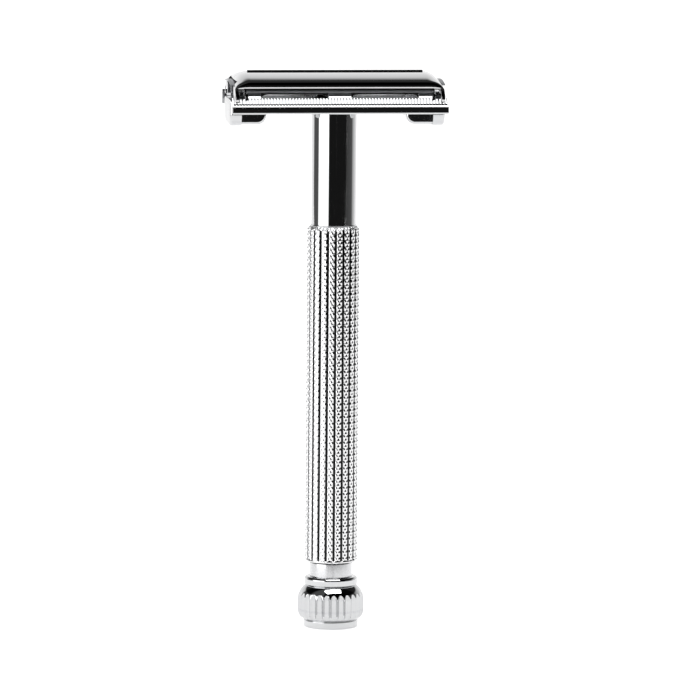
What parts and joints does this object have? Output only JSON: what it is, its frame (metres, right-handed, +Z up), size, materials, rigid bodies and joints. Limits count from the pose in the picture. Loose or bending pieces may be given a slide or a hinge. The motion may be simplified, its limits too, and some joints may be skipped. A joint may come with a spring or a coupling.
{
  "type": "safety razor",
  "caption": "Twist-to-open double-edge safety razor: turning the ball knob lifts end caps that swing two curved doors open over the blade.",
  "frame": {"origin": "centre of the knob's flat bottom face, on the handle's axis", "axes": "+Z up the handle to the head, X along the head and its seam, -Y the front guard bar"},
  "size_m": [0.043, 0.0258, 0.1125],
  "materials": {
    "chrome_plate": "mirror-polished chrome plate over brass",
    "chrome_satin": "finely turned chrome plate",
    "blade_steel": "bright stainless strip with ground edges",
    "pin_steel": "drawn steel",
    "brass": "machined brass, greased"
  },
  "bodies": {
    "handle": {"base_plate": "chrome_plate", "razor_blade": "blade_steel", "front_door_hinge_pins": "pin_steel", "rear_door_hinge_pins": "pin_steel", "neck_tube": "chrome_plate", "stem_guide_bush": "brass", "grip_sleeve": "chrome_plate", "bottom_bush": "brass", "friction_washer": "pin_steel"},
    "lifter": {"lift_bar": "chrome_plate", "lift_bar_rivets": "brass", "end_cap_left": "chrome_plate", "end_cap_right": "chrome_plate", "lift_stem": "brass"},
    "front_door": {"front_door": "chrome_plate", "front_door_cam_pins": "pin_steel"},
    "rear_door": {"rear_door": "chrome_plate", "rear_door_cam_pins": "pin_steel"},
    "drive": {"knob": "chrome_plate", "knob_collar": "chrome_satin", "spindle": "brass", "thrust_washer": "brass"}
  },
  "joints": [
    {"name": "knob_turn", "type": "hinge", "parent": "handle", "child": "drive", "pos_m": [0, 0, 0.005], "axis": [0, 0, 1], "range_deg": [-720, 0]},
    {"name": "lifter_slide", "type": "slide", "parent": "handle", "child": "lifter", "axis": [0, 0, 1], "range_m": [0, 0.0031]},
    {"name": "front_door_swing", "type": "hinge", "parent": "handle", "child": "front_door", "pos_m": [0, -0.0108, 0.1077], "axis": [1, 0, 0], "range_deg": [0, 75]},
    {"name": "rear_door_swing", "type": "hinge", "parent": "handle", "child": "rear_door", "pos_m": [0, 0.0108, 0.1077], "axis": [1, 0, 0], "range_deg": [-75, 0]}
  ],
  "couplings": [
    {"joint": "knob_turn", "follows": "lifter_slide", "rad_per_m": -4053.7},
    {"joint": "front_door_swing", "follows": "lifter_slide", "rad_per_m": 422.26},
    {"joint": "rear_door_swing", "follows": "lifter_slide", "rad_per_m": -422.26}
  ]
}
